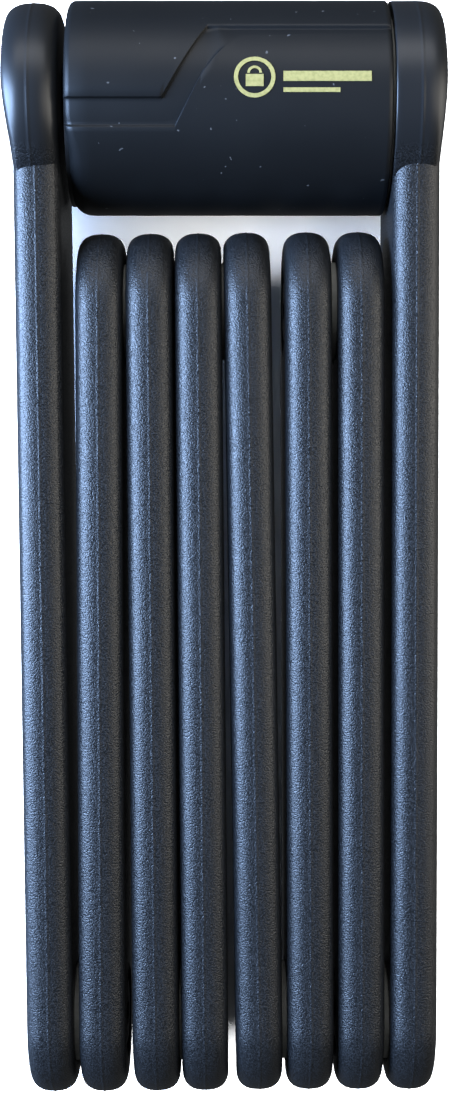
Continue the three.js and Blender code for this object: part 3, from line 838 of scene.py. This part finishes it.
def floor():
    """A pale sweep lit by lamps of its own, so that the dark plastic doesn't mirror it."""
    steps, sides = 10, 64
    flat, bend, top = 2.5, 1.5, 5.0
    outline = [(0.3, 0.0), (1.0, 0.0), (flat, 0.0)]
    for i in range(1, steps + 1):
        angle = math.pi / 2 * i / steps
        outline.append((flat + bend * math.sin(angle), bend - bend * math.cos(angle)))
    outline.append((flat + bend, top))
    verts = []
    for r, z in outline:
        for i in range(sides):
            angle = 2 * math.pi * i / sides
            verts.append((r * math.cos(angle), r * math.sin(angle), z + FLOOR_LEVEL))
    faces = [tuple(range(sides))]
    for a in range(0, len(verts) - sides, sides):
        b = a + sides
        faces += [(a + i, b + i, b + (i + 1) % sides, a + (i + 1) % sides) for i in range(sides)]
    sweep = new_object("sweep", verts, faces)
    s = Shader("sweep_paper", (0.86, 0.87, 0.88), 0, 0.9)
    s.bsdf.inputs["Specular IOR Level"].default_value = 0
    distance = s.node("ShaderNodeVectorMath", operation="LENGTH")
    s.link(s.place, distance.inputs[0])
    s.link(s.ramp(distance.outputs["Value"], 0.3, 1.2, 0, 0.95), s.bsdf.inputs["Emission Strength"])
    s.bsdf.inputs["Emission Color"].default_value = (0.98, 0.99, 1.0, 1)
    sweep.data.materials.append(s.material)
    sweep.visible_glossy = False
    sweep.visible_diffuse = False
    sweep.visible_shadow = False
    only_floor = bpy.data.collections.new("only_floor")
    only_floor.objects.link(sweep)
    for side in (-1, 1):
        place = (side * 0.45, 0, 0.9)
        wash = area_light(f"floor_wash_{side}", place, (place[0], 0, 0), (0.6, 1.6), 45, (1.0, 1.0, 1.0))
        wash.light_linking.receiver_collection = only_floor


def area_light(name, place, target, size, power, color):
    lamp = bpy.data.lights.new(name, "AREA")
    lamp.shape = "RECTANGLE"
    lamp.size, lamp.size_y = size
    lamp.energy = power
    lamp.color = color
    obj = bpy.data.objects.new(name, lamp)
    bpy.context.scene.collection.objects.link(obj)
    obj.location = place
    obj.rotation_euler = (Vector(target) - Vector(place)).to_track_quat("-Z", "Y").to_euler()
    return obj


def lights():
    middle = (0, 0, 0.015)
    area_light("left_window", (-0.85, 0.1, 0.30), middle, (0.4, 1.1), 55, (0.42, 0.62, 1.0))
    area_light("top_soft", (0.0, 0.7, 0.55), middle, (1.0, 0.35), 3.0, (0.97, 0.98, 1.0))
    area_light("right_fill", (0.7, 0.1, 0.5), middle, (0.5, 1.0), 3.4, (1.0, 0.95, 0.86))
    area_light("right_low", (0.8, 0.05, 0.10), middle, (0.4, 1.0), 2.2, (1.0, 0.97, 0.92))
    world = bpy.data.worlds.new("room")
    world.use_nodes = True
    world.node_tree.nodes["Background"].inputs["Color"].default_value = (0.9, 0.95, 1.0, 1)
    world.node_tree.nodes["Background"].inputs["Strength"].default_value = 0.1
    bpy.context.scene.world = world


def camera():
    lens = bpy.data.cameras.new("camera")
    lens.sensor_fit = "VERTICAL"
    lens.sensor_height = 36
    lens.lens = 55.25
    lens.shift_x = 0.0027
    lens.shift_y = 0.0004
    lens.clip_start = 0.01
    lens.dof.use_dof = False
    obj = bpy.data.objects.new("camera", lens)
    obj.location = (-0.0002, 0.00045, 0.2974)
    bpy.context.scene.collection.objects.link(obj)
    bpy.context.scene.camera = obj


dress_cad_nodes()
for number in LINKS:
    sleeve(number)
for number in PIVOTS:
    rivet_and_washer(number)
body_cover()
lock_housing()
key_plug()
retaining_clip()
dust_cover()
end_screws()
printed_marks()
floor()
lights()
camera()
bpy.context.scene.view_settings.view_transform = "Standard"
